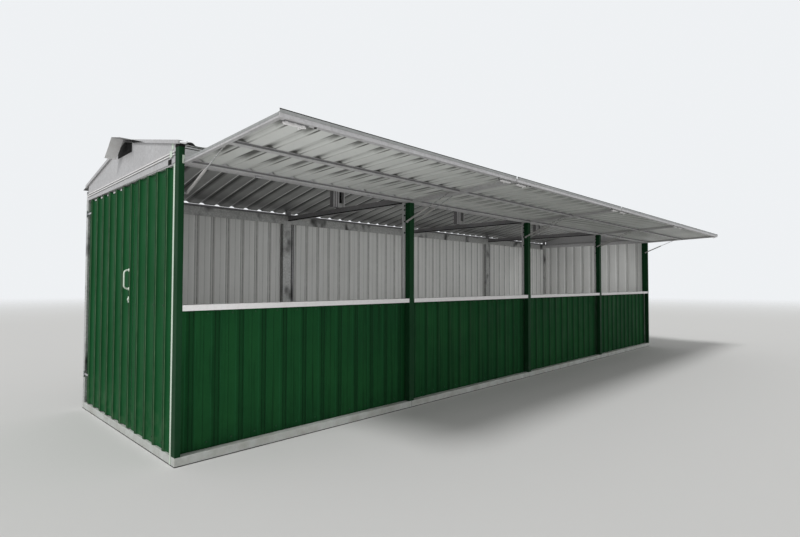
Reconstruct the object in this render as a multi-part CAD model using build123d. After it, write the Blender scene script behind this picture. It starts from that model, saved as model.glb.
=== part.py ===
from build123d import *
from math import atan2, cos, degrees, floor, hypot, radians, sin, tan
import os

# Metal sales kiosk: four serving bays with lift-up flaps, a door in the left end, a low gable roof.
# Millimetres. While it is built, X runs along the front from its middle, Y runs back from the faces
# of the front posts and Z up from the ground. At the end it is moved to its bottom centre.

# The stand as a whole
kiosk_length = 8940
kiosk_depth = 2210
bay_count = 4
tube = 60
wall_top = 1985
seat_gap = 0.3
fit_gap = 8

# Front posts, counter rail and roof supports
post_width = 64
corner_width = 38
counter_top = 1050
counter_height = 40
eave_height = 70
rear_post_depth = 40
tie_width = 40
king_width = 80
ridge_beam_size = 60
roof_pitch = 11.5
eave_overhang = 90
front_overhang = 10
end_overhang = 10
gable_thickness = 3
gable_notch_width = 350
gable_notch_sill = 2230
cap_wing = 210
cap_overhang = 100
cap_thickness = 1.5

# Ribbed sheet
rib_pitch = 550 / 3
rib_height = 18
rib_crown = 28
rib_flank = 20
sheet_thickness = 1.5
front_panel_drop = 5
first_wall_rib = 212

# Serving flaps
flap_gap = 8
flap_length = 1160
flap_tube = 25
flap_lip = 80
flap_mid_rail = 585
flap_trim = 1.5
flap_tilt = 2
flap_stand_off = 12
hinge_drop = 8

# Hinges of the flaps and of the door
hinge_length = 60
hinge_count = 2
knuckle_radius = 6
knuckle_gap = 1
pin_radius = 3
running_gap = 0.25
round_sides = 8
leaf_thickness = 3
leaf_width = 45

# Gas struts
strut_radius = 9
rod_radius = 4
eye_radius = 7
eye_thickness = 8
strut_gap = 6
strut_drop = 180
strut_inset = 30
strut_reach = 490
strut_end_gap = 4
rod_overlap = 20
strut_pin_radius = 4
pin_end = 1
stud_length = 4

# Door in the left end wall
door_start = 905
ribs_before_door = 4
jamb_width = 40
door_frame_width = 40
door_frame_depth = 25
door_mid_rail = 1180
strap_length = 104
door_hinge_heights = (330, 1850)
door_hinge_stand_off = 10
handle_low = 1149
handle_high = 1295
handle_radius = 7
handle_stand_off = 35
handle_end = 14
lock_height = 1065
lock_radius = 13
lock_depth = 8

# Places that follow from the sizes above
left = -kiosk_length / 2
right = kiosk_length / 2
ring_top = wall_top + tube
eave_top = ring_top + eave_height
ridge_y = kiosk_depth / 2
slope = tan(radians(roof_pitch))
bay_pitch = (kiosk_length - corner_width) / bay_count
flap_width = bay_pitch - 2 * flap_gap
sheet_depth = rib_height + sheet_thickness
hinge_y = -flap_stand_off
hinge_z = wall_top - hinge_drop
door_end = kiosk_depth - tube - fit_gap
door_bottom = tube + fit_gap
door_top = wall_top - fit_gap
first_door_rib = first_wall_rib + ribs_before_door * rib_pitch
front_panel_run = (kiosk_length - 2 * (sheet_depth + seat_gap)) / bay_count
rear_panel_run = (kiosk_length - 2 * (tube + seat_gap)) / bay_count
strut_offset = max(post_width / 2, flap_gap + flap_tube) + strut_gap + strut_radius


def block(x, y, z):
    """A square-cornered piece between two values on each axis."""
    size = Box(x[1] - x[0], y[1] - y[0], z[1] - z[0])
    return Pos((x[0] + x[1]) / 2, (y[0] + y[1]) / 2, (z[0] + z[1]) / 2) * size


def rod_z(x, y, z, radius):
    """A small bar or bore along Z, with flats at its radius because there are so many of them."""
    outline = RegularPolygon(radius, round_sides, major_radius=False)
    return Pos(x, y, z[0]) * extrude(outline, amount=z[1] - z[0])


def rod_x(x, y, z, radius):
    """The same along X."""
    return Pos(x[0], y, z) * Rot(Y=90) * rod_z(0, 0, (0, x[1] - x[0]), radius)


def pin_x(x, y, z, radius):
    """A round pin along X, for a piece to turn on."""
    return Pos((x[0] + x[1]) / 2, y, z) * Rot(Y=90) * Cylinder(radius, x[1] - x[0])


def pin_z(x, y, z, radius):
    """A round pin along Z."""
    return Pos(x, y, (z[0] + z[1]) / 2) * Cylinder(radius, z[1] - z[0])


def mirrored(part):
    """The same piece at the other end of the kiosk."""
    return mirror(part, about=Plane.YZ)


def post_middle(number):
    """Middle of a front post, counted from the left corner."""
    return left + corner_width / 2 + number * bay_pitch


def post_half(number):
    """Half the width of a front post, as the corner posts are narrower than the others."""
    if number in (0, bay_count):
        return corner_width / 2
    return post_width / 2


def roof_under(y):
    """Height of the underside of the roof sheets, which is highest at the ridge."""
    return eave_top + seat_gap + slope * (ridge_y - abs(y - ridge_y))


def ribbed_sheet(width, height, first_rib):
    """Ribbed sheet that stands on Z=0 and starts at X=0, with its ribs out towards -Y."""
    outer = [(0, rib_height)]
    centre = first_rib
    while centre + rib_crown / 2 + rib_flank < width:
        outer.append((centre - rib_crown / 2 - rib_flank, rib_height))
        outer.append((centre - rib_crown / 2, 0))
        outer.append((centre + rib_crown / 2, 0))
        outer.append((centre + rib_crown / 2 + rib_flank, rib_height))
        centre += rib_pitch
    outer.append((width, rib_height))
    inner = [(x, y + sheet_thickness) for x, y in reversed(outer)]
    return extrude(make_face(Polyline(*outer, *inner, close=True)), amount=height)


def centred_rib(width):
    """Place of the first rib when the ribs are spread evenly about the middle of a sheet."""
    half_rib = rib_crown / 2 + rib_flank
    ribs = floor((width - 2 * half_rib) / rib_pitch) + 1
    return (width - (ribs - 1) * rib_pitch) / 2


def base_rail(y):
    return [block((left, right), y, (0, tube))]


def end_rails(z):
    """The two rails across the ends, between the long ones."""
    rail = block((left, left + tube), (tube + seat_gap, kiosk_depth - tube - seat_gap), z)
    return [rail, mirrored(rail)]


def front_posts():
    """The corner posts carry the eave, and the others end under the top rail."""
    posts = []
    for number in range(bay_count + 1):
        corner = number in (0, bay_count)
        top = eave_top if corner else wall_top - seat_gap
        x = (post_middle(number) - post_half(number), post_middle(number) + post_half(number))
        posts.append(block(x, (0, tube), (tube + seat_gap, top)))
    return posts


def rear_posts():
    z = (tube + seat_gap, wall_top - seat_gap)
    corner = block((left, left + tube), (kiosk_depth - tube, kiosk_depth), z)
    posts = [corner, mirrored(corner)]
    back = kiosk_depth - sheet_depth - seat_gap
    for number in range(1, bay_count):
        middle = post_middle(number)
        posts.append(block((middle - tube / 2, middle + tube / 2), (back - rear_post_depth, back), z))
    return posts


def counter_rails():
    rails = []
    for bay in range(bay_count):
        start = post_middle(bay) + post_half(bay) + seat_gap
        end = post_middle(bay + 1) - post_half(bay + 1) - seat_gap
        rails.append(block((start, end), (0, tube), (counter_top - counter_height, counter_top)))
    return rails


def front_panel(bay):
    """Ribbed panel under the counter, behind the posts and the base rail and clear of the end rails."""
    width = front_panel_run - seat_gap
    sheet = ribbed_sheet(width, counter_top - front_panel_drop, centred_rib(width))
    x = left + sheet_depth + seat_gap + bay * front_panel_run
    sheet = Pos(x, tube + seat_gap, front_panel_drop) * sheet
    reach = tube + seat_gap
    for corner in ((left, left + reach), (right - reach, right)):
        sheet -= block(corner, (tube, tube + 2 * sheet_depth), (0, reach))
    return [sheet]


def rear_panels():
    width = rear_panel_run - seat_gap
    height = wall_top - tube - 2 * seat_gap
    panels = []
    for bay in range(bay_count):
        sheet = ribbed_sheet(width, height, centred_rib(width))
        x = right - tube - seat_gap - bay * rear_panel_run
        panels.append(Pos(x, kiosk_depth, tube + seat_gap) * Rot(Z=180) * sheet)
    return panels


def left_sheet(y, z, first_rib):
    """Ribbed sheet in the left end wall, with its first rib counted from the front corner."""
    last_rib = first_rib + rib_pitch * floor((y[1] - rib_crown / 2 - rib_flank - first_rib) / rib_pitch)
    sheet = ribbed_sheet(y[1] - y[0], z[1] - z[0], y[1] - last_rib)
    return Pos(left, y[1], z[0]) * Rot(Z=-90) * sheet


def wall_height():
    return (tube + seat_gap, wall_top - seat_gap)


def left_wall_panel():
    return [left_sheet((tube + seat_gap, door_start - fit_gap), wall_height(), first_wall_rib)]


def right_wall_panel():
    y = (tube + seat_gap, kiosk_depth - tube - seat_gap)
    return [mirrored(left_sheet(y, wall_height(), first_wall_rib))]


def door_jamb():
    x = left + sheet_depth + seat_gap
    y = door_start - fit_gap
    return [block((x, left + tube), (y - jamb_width, y), wall_height())]


def long_top_rails(y, z, inset):
    return block((left + inset, right - inset), y, z)


def eave_rails():
    """Rails on the top rails that carry the lower edges of the roof."""
    z = (ring_top + seat_gap, eave_top)
    front = long_top_rails((0, tube), z, corner_width + seat_gap)
    rear = long_top_rails((kiosk_depth - tube, kiosk_depth), z, 0)
    return [front, rear]


def gable():
    """Sheet between the top rail and the roof, left open under the ridge."""
    y = (tube + seat_gap, kiosk_depth - tube - seat_gap)
    base = ring_top + seat_gap
    edge = roof_under(y[0]) - seat_gap
    peak = roof_under(ridge_y) - seat_gap
    outline = Polyline((y[0], base), (y[1], base), (y[1], edge), (ridge_y, peak), (y[0], edge), close=True)
    sheet = Pos(left, 0, 0) * extrude(Plane.YZ * make_face(outline), amount=gable_thickness)
    notch_y = (ridge_y - gable_notch_width / 2, ridge_y + gable_notch_width / 2)
    notch = block((left, left + gable_thickness), notch_y, (gable_notch_sill, peak))
    return sheet - notch


def roof_sheet(overhang):
    """The slope over the front, from its eave to the ridge."""
    width = kiosk_length + 2 * end_overhang
    run = ridge_y + overhang - seat_gap
    sheet = ribbed_sheet(width, run / cos(radians(roof_pitch)), centred_rib(width))
    lift = sheet_depth
    y = -overhang - lift * sin(radians(roof_pitch))
    z = roof_under(-overhang) + lift * cos(radians(roof_pitch))
    return Pos(left - end_overhang, y, z) * Rot(X=roof_pitch - 90) * sheet


def rear_roof_sheet():
    return Pos(0, 2 * ridge_y, 0) * Rot(Z=180) * roof_sheet(eave_overhang)


def ridge_cap():
    """Bent flashing on the ribs, which sticks out past both gables."""
    rise = sheet_depth / cos(radians(roof_pitch)) + seat_gap
    points = []
    for y in (ridge_y - cap_wing, ridge_y, ridge_y + cap_wing):
        points.append((y, roof_under(y) + rise))
    upper = [(y, z + cap_thickness) for y, z in reversed(points)]
    face = Plane.YZ * make_face(Polyline(*points, *upper, close=True))
    length = kiosk_length + 2 * cap_overhang
    return Pos(left - cap_overhang, 0, 0) * extrude(face, amount=length)


def ridge_beam_top():
    return roof_under(ridge_y - ridge_beam_size / 2) - seat_gap


def ridge_beam():
    y = (ridge_y - ridge_beam_size / 2, ridge_y + ridge_beam_size / 2)
    return [block((left, right), y, (ridge_beam_top() - ridge_beam_size, ridge_beam_top()))]


def roof_trusses():
    """Tie beams between the top rails, each with a king post under the ridge beam."""
    pieces = []
    for number in range(1, bay_count):
        middle = post_middle(number)
        tie_x = (middle - tie_width / 2, middle + tie_width / 2)
        tie_y = (tube + seat_gap, kiosk_depth - tube - seat_gap)
        pieces.append(block(tie_x, tie_y, (wall_top, ring_top)))
        king_x = (middle - king_width / 2, middle + king_width / 2)
        king_y = (ridge_y - king_width / 2, ridge_y + king_width / 2)
        king_z = (ring_top + seat_gap, ridge_beam_top() - ridge_beam_size - seat_gap)
        pieces.append(block(king_x, king_y, king_z))
    return pieces


def hinge_places():
    """Distances of the hinges from the left edge of a flap."""
    step = flap_width / hinge_count
    return [step * (number + 0.5) for number in range(hinge_count)]


def flap_start(bay):
    return post_middle(bay) + flap_gap


def fixed_flap_hinge(x):
    """Half of a flap hinge on the top rail: a leaf, two knuckles and the pin."""
    half = hinge_length / 2
    inner = hinge_length / 6
    leaf_foot = wall_top + seat_gap
    leaf_z = (leaf_foot, wall_top + leaf_width)
    part = block((x - half, x + half), (-seat_gap - leaf_thickness, -seat_gap), leaf_z)
    part += pin_x((x - inner, x + inner), hinge_y, hinge_z, pin_radius)
    for low, high in ((x - half, x - inner), (x + inner, x + half)):
        part += rod_x((low, high), hinge_y, hinge_z, knuckle_radius)
        part += block((low, high), (hinge_y + leaf_thickness, -seat_gap), (hinge_z, leaf_foot))
    return part


def moving_flap_hinge(x):
    """Half of a flap hinge under the flap, before the flap is tilted."""
    half = hinge_length / 6 - knuckle_gap
    part = rod_x((x - half, x + half), hinge_y, hinge_z, knuckle_radius)
    top = wall_top - seat_gap
    part += block((x - half, x + half), (hinge_y - flap_tube, hinge_y), (top - leaf_thickness, top))
    return part - rod_x((x - half, x + half), hinge_y, hinge_z, pin_radius + running_gap)


def raised(part):
    """Tilts a piece of a flap up about its hinge line, as the open flap stands."""
    axis = Pos(0, hinge_y, hinge_z)
    return axis * Rot(X=-flap_tilt) * axis.inverse() * part


def flap_frame(bay):
    """Three rails along the flap between two side rails, the studs, the hinge leaves and the trim."""
    start = flap_start(bay)
    end = start + flap_width
    z = (wall_top, wall_top + flap_tube)
    near = hinge_y
    far = hinge_y - flap_length + flap_lip
    pieces = []
    first_face = start + flap_tube
    last_face = end - flap_tube
    studs = ((first_face, first_face + stud_length), (last_face - stud_length, last_face))
    for x, stud in zip(((start, first_face), (last_face, end)), studs):
        rail = block(x, (far, near), z)
        rail += rod_x(stud, hinge_y - strut_reach, wall_top + flap_tube / 2, strut_pin_radius)
        pieces.append(rail)
    middle = hinge_y - flap_mid_rail
    across = (first_face + seat_gap, last_face - seat_gap)
    for low in (near - flap_tube, middle - flap_tube / 2, far):
        pieces.append(block(across, (low, low + flap_tube), z))
    for place in hinge_places():
        pieces.append(moving_flap_hinge(start + place))
    pieces.append(flap_edge_trim(start, end))
    return [raised(piece) for piece in pieces]


def flap_edge_trim(start, end):
    """Bent strip under the free edge of a flap and up over the ends of its ribs."""
    inner = hinge_y - flap_length + flap_lip - seat_gap
    outer = hinge_y - flap_length - seat_gap
    top = wall_top + flap_tube
    crown = top + seat_gap + sheet_depth
    flange = block((start, end), (outer - flap_trim, inner), (top - flap_trim, top))
    return flange + block((start, end), (outer - flap_trim, outer), (top - flap_trim, crown))


def flap_sheet(bay):
    sheet = ribbed_sheet(flap_width, flap_length, centred_rib(flap_width))
    z = wall_top + flap_tube + seat_gap + sheet_depth
    return [raised(Pos(flap_start(bay), hinge_y - flap_length, z) * Rot(X=-90) * sheet)]


def strut_low_point():
    return (strut_inset, hinge_z - strut_drop)


def strut_high_point():
    """Where the open flap holds the strut's upper end."""
    y = -strut_reach
    z = hinge_drop + flap_tube / 2
    tilt = radians(flap_tilt)
    return (hinge_y + y * cos(tilt) + z * sin(tilt), hinge_z - y * sin(tilt) + z * cos(tilt))


def strut_places(bay):
    """Middles of the two struts of a bay, inside the side rails of its flap."""
    return (post_middle(bay) + strut_offset, post_middle(bay + 1) - strut_offset)


def strut_placed(part, x):
    """Moves a strut piece from upright at the origin to the line between its two ends."""
    low = strut_low_point()
    high = strut_high_point()
    lean = degrees(atan2(low[0] - high[0], high[1] - low[1]))
    return Pos(x, low[0], low[1]) * Rot(X=lean) * part


def open_strut_length():
    low = strut_low_point()
    high = strut_high_point()
    return hypot(high[0] - low[0], high[1] - low[1])


def strut_body(x):
    """Cylinder of a gas strut with the eye at its lower end."""
    part = rod_z(0, 0, (eye_radius, strut_body_length()), strut_radius)
    part += rod_x((-eye_thickness / 2, eye_thickness / 2), 0, 0, eye_radius)
    part += block((-eye_thickness / 2, eye_thickness / 2), (-rod_radius, rod_radius), (0, 2 * eye_radius))
    part -= rod_x((-strut_radius, strut_radius), 0, 0, strut_pin_radius + running_gap)
    bore_bottom = closed_strut_length() - strut_rod_length() - strut_end_gap
    part -= rod_z(0, 0, (bore_bottom, strut_body_length()), rod_radius + running_gap)
    return strut_placed(part, x)


def strut_body_length():
    """The cylinder ends just short of the upper eye when the flap is down."""
    return closed_strut_length() - eye_radius - strut_end_gap


def strut_rod_length():
    """The rod still overlaps its cylinder when the flap is up."""
    return open_strut_length() - strut_body_length() + rod_overlap


def closed_strut_length():
    """Distance between the strut's ends with the flap hanging straight down."""
    low = strut_low_point()
    y = hinge_y - hinge_drop - flap_tube / 2
    return hypot(y - low[0], hinge_z - strut_reach - low[1])


def strut_rod(x):
    """Rod of a gas strut with the eye at its upper end."""
    top = open_strut_length()
    part = rod_z(0, 0, (top - strut_rod_length(), top - eye_radius / 2), rod_radius)
    part += rod_x((-eye_thickness / 2, eye_thickness / 2), 0, top, eye_radius)
    part -= rod_x((-strut_radius, strut_radius), 0, top, strut_pin_radius + running_gap)
    return strut_placed(part, x)


def strut_pins(bay):
    """Pins from the sides of the posts through the lower eyes of the two struts of a bay."""
    y, z = strut_low_point()
    reach = strut_offset + eye_thickness / 2 + pin_end
    first = (post_middle(bay) + post_half(bay) + seat_gap, post_middle(bay) + reach)
    last = (post_middle(bay + 1) - reach, post_middle(bay + 1) - post_half(bay + 1) - seat_gap)
    return [pin_x(x, y, z, strut_pin_radius) for x in (first, last)]


def fixed_door_hinge(z):
    """Half of a door hinge on the rear corner post: a leaf, two knuckles and the pin."""
    half = hinge_length / 2
    inner = hinge_length / 6
    y = door_end + fit_gap / 2
    x = left - door_hinge_stand_off
    leaf_foot = y + knuckle_radius
    leaf_x = (left - seat_gap - leaf_thickness, left - seat_gap)
    part = block(leaf_x, (leaf_foot, y + leaf_width), (z - half, z + half))
    part += pin_z(x, y, (z - inner, z + inner), pin_radius)
    for low, high in ((z - half, z - inner), (z + inner, z + half)):
        part += rod_z(x, y, (low, high), knuckle_radius)
        part += block((x + leaf_thickness, left - seat_gap), (y, leaf_foot), (low, high))
    return part


def moving_door_hinge(z):
    """Half of a door hinge: a strap that reaches the nearest rib of the door."""
    half = hinge_length / 6 - knuckle_gap
    y = door_end + fit_gap / 2
    x = left - door_hinge_stand_off
    part = rod_z(x, y, (z - half, z + half), knuckle_radius)
    strap_x = (left - seat_gap - leaf_thickness, left - seat_gap)
    part += block(strap_x, (y - strap_length, y), (z - half, z + half))
    part += block((x, left - seat_gap), (y - leaf_thickness, y), (z - half, z + half))
    return part - rod_z(x, y, (z - half, z + half), pin_radius + running_gap)


def fixed_hinges():
    """The hinge halves and strut pins that stay on the frame."""
    pieces = []
    for bay in range(bay_count):
        pieces += [fixed_flap_hinge(flap_start(bay) + place) for place in hinge_places()]
        pieces += strut_pins(bay)
    pieces += [fixed_door_hinge(z) for z in door_hinge_heights]
    return pieces


def door_frame():
    """Two stiles and three rails behind the door's sheet."""
    x0 = left + sheet_depth + seat_gap
    x = (x0, x0 + door_frame_depth)
    z = (door_bottom, door_top)
    wide = door_frame_width
    pieces = [block(x, (door_start, door_start + wide), z), block(x, (door_end - wide, door_end), z)]
    across = (door_start + wide + seat_gap, door_end - wide - seat_gap)
    for low in (door_bottom, door_mid_rail, door_top - wide):
        pieces.append(block(x, across, (low, low + wide)))
    return pieces


def door_sheet():
    return [left_sheet((door_start, door_end), (door_bottom, door_top), first_door_rib)]


def door_handle():
    """Bow handle and lock on the door's first rib, and the hinge straps."""
    x = left - handle_stand_off
    z = (handle_low - handle_end, handle_high + handle_end)
    bow = rod_z(x, first_door_rib, z, handle_radius)
    for height in (handle_low, handle_high):
        bow += rod_x((x, left - seat_gap), first_door_rib, height, handle_radius)
    lock = rod_x((left - lock_depth, left - seat_gap), first_door_rib, lock_height, lock_radius)
    return [bow, lock] + [moving_door_hinge(z) for z in door_hinge_heights]


def kiosk():
    """All pieces by name."""
    rear = (kiosk_depth - tube, kiosk_depth)
    ring = (wall_top, ring_top)
    nodes = {
        "base_rail_front": base_rail((0, tube)),
        "base_rail_rear": base_rail(rear),
        "base_rails_end": end_rails((0, tube)),
        "front_posts": front_posts(),
        "rear_posts": rear_posts(),
        "counter_rails": counter_rails(),
        "rear_panels": rear_panels(),
        "left_wall_panel": left_wall_panel(),
        "right_wall_panel": right_wall_panel(),
        "door_jamb": door_jamb(),
        "top_rail_front": [long_top_rails((0, tube), ring, corner_width + seat_gap)],
        "top_rail_rear": [long_top_rails(rear, ring, 0)],
        "top_rails_end": end_rails(ring),
        "eave_rails": eave_rails(),
        "gable_left": [gable()],
        "gable_right": [mirrored(gable())],
        "roof_sheet_front": [roof_sheet(front_overhang)],
        "roof_sheet_rear": [rear_roof_sheet()],
        "ridge_cap": [ridge_cap()],
        "ridge_beam": ridge_beam(),
        "roof_trusses": roof_trusses(),
        "fixed_hinges": fixed_hinges(),
        "door_frame": door_frame(),
        "door_sheet": door_sheet(),
        "door_handle": door_handle(),
    }
    for bay in range(bay_count):
        nodes[f"front_panel_{bay + 1}"] = front_panel(bay)
        nodes[f"flap_frame_{bay + 1}"] = flap_frame(bay)
        nodes[f"flap_sheet_{bay + 1}"] = flap_sheet(bay)
        nodes[f"strut_bodies_{bay + 1}"] = [strut_body(x) for x in strut_places(bay)]
        nodes[f"strut_rods_{bay + 1}"] = [strut_rod(x) for x in strut_places(bay)]
    return nodes


def bottom_centre(nodes):
    """The middle of the whole kiosk on the ground."""
    boxes = [piece.bounding_box() for pieces in nodes.values() for piece in pieces]
    x = (min(box.min.X for box in boxes) + max(box.max.X for box in boxes)) / 2
    y = (min(box.min.Y for box in boxes) + max(box.max.Y for box in boxes)) / 2
    return x, y


os.makedirs("parts", exist_ok=True)
all_nodes = kiosk()
middle_x, middle_y = bottom_centre(all_nodes)
for name, pieces in all_nodes.items():
    solids = [solid for piece in pieces for solid in piece.solids()]
    whole = Compound(children=solids) if len(solids) > 1 else solids[0]
    export_step(Pos(-middle_x, -middle_y, 0) * whole, f"parts/{name}.step")
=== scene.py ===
import bmesh
import bpy
from math import cos, floor, hypot, pi, radians, sin, tan
from mathutils import Matrix, Vector, noise


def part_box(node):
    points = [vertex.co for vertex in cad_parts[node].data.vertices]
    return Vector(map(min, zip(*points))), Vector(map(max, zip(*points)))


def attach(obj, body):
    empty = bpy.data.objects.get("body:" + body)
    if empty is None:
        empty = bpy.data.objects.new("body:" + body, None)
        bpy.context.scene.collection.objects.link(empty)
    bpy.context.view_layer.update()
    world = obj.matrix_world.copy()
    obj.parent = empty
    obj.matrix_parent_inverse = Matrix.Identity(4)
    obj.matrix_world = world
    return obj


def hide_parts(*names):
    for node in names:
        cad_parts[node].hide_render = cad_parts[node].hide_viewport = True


# Metal sales kiosk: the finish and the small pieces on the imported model.
# Sizes and places are in millimetres from the kiosk's front left corner on the ground, as in the
# source of the solids, and at() turns them into metres in the model's frame.

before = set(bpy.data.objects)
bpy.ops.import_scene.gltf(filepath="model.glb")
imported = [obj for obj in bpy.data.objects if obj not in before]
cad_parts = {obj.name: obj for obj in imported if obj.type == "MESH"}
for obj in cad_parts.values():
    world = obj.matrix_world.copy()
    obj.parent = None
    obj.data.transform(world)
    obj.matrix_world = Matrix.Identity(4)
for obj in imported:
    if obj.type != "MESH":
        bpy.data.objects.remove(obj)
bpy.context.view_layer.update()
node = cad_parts
corner = Vector(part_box("base_rail_front")[0])

# The kiosk, as in the source of the solids
length = 8940
depth = 2210
bays = 4
tube = 60
wall_top = 1985
seat_gap = 0.3
fit_gap = 8
post_width = 64
corner_width = 38
counter_top = 1050
counter_height = 40
eave_height = 70
ridge_beam_size = 60
roof_pitch = radians(11.5)
eave_overhang = 90
front_overhang = 10
end_overhang = 10
cap_wing = 210
cap_overhang = 100
rib_pitch = 550 / 3
rib_height = 18
rib_crown = 28
rib_flank = 20
sheet_thickness = 1.5
bead_width = 16
bead_height = 2.4
front_panel_drop = 5
first_wall_rib = 212
flap_gap = 8
flap_length = 1160
flap_tube = 25
flap_mid_rail = 585
flap_tilt = radians(2)
flap_stand_off = 12
hinge_drop = 8
hinge_length = 60
knuckle_radius = 6
leaf_thickness = 3
leaf_width = 45
strut_offset = 48
strut_inset = 30
strut_drop = 180
strut_reach = 490
eye_radius = 7
eye_thickness = 8
door_start = 905
door_hinge_heights = (330, 1850)
door_hinge_stand_off = 10
strap_length = 104
handle_low = 1149
handle_high = 1295
handle_radius = 7
handle_stand_off = 35
lock_height = 1065

ring_top = wall_top + tube
eave_top = ring_top + eave_height
inner_face = tube + seat_gap
rear_face = depth - inner_face
wall_span = (inner_face, wall_top - seat_gap)
ridge_y = depth / 2
slope = tan(roof_pitch)
bay_pitch = (length - corner_width) / bays
flap_width = bay_pitch - 2 * flap_gap
sheet_depth = rib_height + sheet_thickness
rib_foot = rib_crown / 2 + rib_flank
front_run = (length - 2 * (sheet_depth + seat_gap)) / bays
rear_run = (length - 2 * inner_face) / bays
roof_width = length + 2 * end_overhang
leaf_depth = (-seat_gap - leaf_thickness, -seat_gap)
hinge_y = -flap_stand_off
hinge_z = wall_top - hinge_drop
door_span = (door_start, depth - tube - fit_gap)
door_hinge_y = door_span[1] + fit_gap / 2
first_door_rib = first_wall_rib + 4 * rib_pitch

# Sizes that only the finish has
skin_out = 0.5
skin_thickness = 1.2
crown_inset = 0.8
flashing = 1.4
channel_metal = 3
hinge_pin = 3
pin_bore = 3.25
strut_radius = 9
strut_bore = 4.4
bore_depth = 260
far_rail = (flap_length - 36, flap_length - 2)
low_eave_top = 2070.5
tube_edge = 2.5

# Camera of the photograph, from the kiosk's front left corner. It sees as far as camera_reach, in metres
camera_place = (-1304.3, -3316.9, 1200)
camera_yaw = radians(45.56)
camera_pitch = radians(1.66)
camera_roll = radians(0.15)
camera_lens = 22.42
camera_sensor = 36
camera_reach = 200

# Light. Suns have a name, direction, strength and angle, and soft lamps a name, middle, facing, size
# and power. The sizes of lamps and floor are in metres
background = (0.86, 0.88, 0.90)
ambient = 0.50
suns = (("sun", (0.62, 0.05, -0.76), 1.85, 14),
        ("fill", (0.20, 0.96, 0.02), 0.42, 50))
soft_lamps = (("inside", (length / 2 + 250, 130, 1480), (0, 1, -0.06), (7.8, 0.7), 17),
              ("inside_end", (length - 1640, 1000, 1350), (1, 0, -0.3), (1.3, 0.8), 3.5),
              ("bounce", (0, -1500, 20), (0, 0, 1), (1.2, 1.2), 17))
floor_colour = (0.62, 0.62, 0.61)
floor_reach = 60
fade_start = 12
fade_end = 45


def at(x, y, z):
    """A point in the model's frame."""
    return corner + Vector((x, y, z)) / 1000


def at_end(side):
    """Places a point at the left end, or mirrored at the right one."""
    return (lambda x, y, z: (x, y, z)) if side == "left" else (lambda x, y, z: (length - x, y, z))


def around(middle, half):
    """The two values at half a width from a middle."""
    return (middle - half, middle + half)


def post_middle(number):
    return corner_width / 2 + number * bay_pitch


def inner_middles():
    return [post_middle(number) for number in range(1, bays)]


def post_half(number):
    return (corner_width if number in (0, bays) else post_width) / 2


def roof_under(y):
    return eave_top + seat_gap + slope * (ridge_y - abs(y - ridge_y))


def raised(x, along, rise):
    """A point on an open flap: along is the distance from the hinge line and rise the height over the
    undersides of its rails."""
    z = hinge_drop + rise
    return (x, hinge_y - along * cos(flap_tilt) + z * sin(flap_tilt),
            hinge_z + along * sin(flap_tilt) + z * cos(flap_tilt))


def ramp(value, low, high, first, last):
    """From first at low to last at high, and level outside them."""
    share = min(1.0, max(0.0, (value - low) / (high - low)))
    return first + (last - first) * share


def new_object(name, data):
    obj = bpy.data.objects.new(name, data)
    bpy.context.scene.collection.objects.link(obj)
    return obj


# Node trees and materials

class Nodes:
    """A tree of shader nodes, built node by node."""

    def __init__(self, tree):
        self.tree = tree

    def put(self, value, socket):
        """Sets a socket to a number, a colour or a scale, or links it to another socket."""
        if isinstance(value, bpy.types.NodeSocket):
            self.tree.links.new(value, socket)
        elif isinstance(value, tuple):
            socket.default_value = (*value, 1)[:len(socket.default_value)]
        else:
            socket.default_value = value

    def new(self, kind, *values, **named):
        """A node with its inputs set in their order, or by name with _ in place of a space."""
        made = self.tree.nodes.new("ShaderNode" + kind)
        for number, value in enumerate(values):
            self.put(value, made.inputs[number])
        for name, value in named.items():
            self.put(value, made.inputs[name.replace("_", " ")])
        return made

    def either(self, first, second):
        """One where at least one of the two is one."""
        added = self.new("Math", first, second)
        added.use_clamp = True
        return added.outputs[0]

    def blend(self, share, first, second):
        return self.new("MixShader", share, first.outputs[0], second.outputs[0]).outputs[0]


class Finish(Nodes):
    """A material with every texture in the object's own coordinates."""

    def __init__(self, name, metallic, specular=0.5):
        self.mat = bpy.data.materials.new(name)
        self.mat.use_nodes = True
        super().__init__(self.mat.node_tree)
        self.shader = self.tree.nodes["Principled BSDF"]
        self.put(metallic, self.shader.inputs["Metallic"])
        self.put(specular, self.shader.inputs["Specular IOR Level"])
        self.place = self.new("TexCoord").outputs["Object"]

    def stretched(self, *scale):
        return self.new("Mapping", Vector=self.place, Scale=scale).outputs["Vector"]

    def noise(self, scale, detail=3, vector=None):
        return self.new("TexNoise", Vector=vector or self.place, Scale=scale, Detail=detail).outputs["Fac"]

    def cells(self, scale):
        """Random grey for each crystal of a zinc coat."""
        crystals = self.new("TexVoronoi", Vector=self.place, Scale=scale)
        return self.new("SeparateColor", crystals.outputs["Color"]).outputs["Red"]

    def range(self, value, low, high, to_low, to_high):
        return self.new("MapRange", value, low, high, to_low, to_high).outputs["Result"]

    def times(self, first, second):
        product = self.new("Math", first, second)
        product.operation = "MULTIPLY"
        return product.outputs[0]

    def mix(self, share, first, second):
        mixed = self.new("Mix", share)
        mixed.data_type = "RGBA"
        self.put(first, mixed.inputs[6])
        self.put(second, mixed.inputs[7])
        return mixed.outputs[2]

    def height(self):
        return self.new("SeparateXYZ", self.place).outputs["Z"]

    def mark(self, name):
        """A value that the mesh carries at its points."""
        carried = self.new("Attribute")
        carried.attribute_name = name
        return carried.outputs["Fac"]

    def colour(self, value):
        self.put(value, self.shader.inputs["Base Color"])

    def rough(self, value):
        self.put(value, self.shader.inputs["Roughness"])

    def bump(self, value, strength, distance):
        bumps = self.new("Bump", Strength=strength, Distance=distance, Height=value)
        self.put(bumps.outputs["Normal"], self.shader.inputs["Normal"])


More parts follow.
